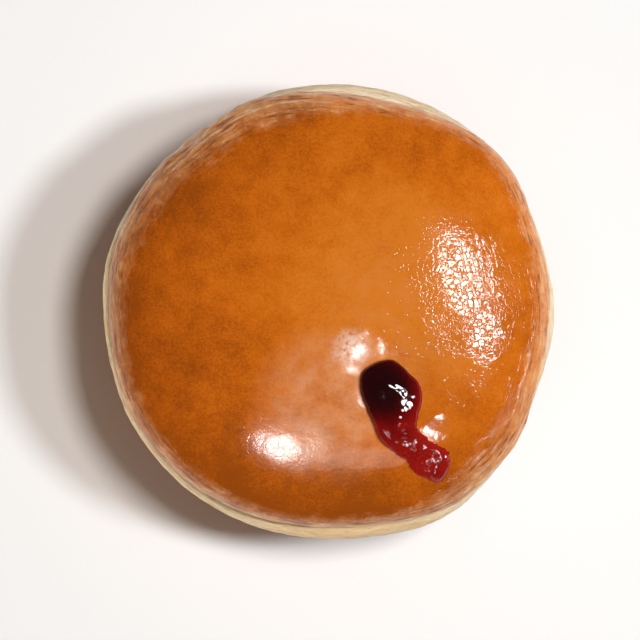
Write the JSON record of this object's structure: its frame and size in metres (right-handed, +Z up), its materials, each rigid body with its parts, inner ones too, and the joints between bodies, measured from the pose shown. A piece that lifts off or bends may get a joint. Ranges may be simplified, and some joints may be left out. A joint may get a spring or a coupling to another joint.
{
  "type": "glazed jam-filled doughnut",
  "caption": "Round fried dough bun with a glazed brown crown, a pale waist and red jam welling out of a small hole in the top.",
  "frame": {"origin": "on the standing surface, under the middle of the bounding box", "axes": "+Z up through the crown; the jam's tail runs towards +X and -Y"},
  "size_m": [0.09, 0.0906, 0.0426],
  "materials": {
    "crust": "fried dough, golden brown with a pale waist",
    "glaze": "clear sugar glaze over a brown crust, glossy with a crinkled skin",
    "jam": "dark red jam, wet"
  },
  "bodies": {
    "root": {"bun": "crust", "glaze": "glaze", "jam": "jam"}
  },
  "joints": []
}
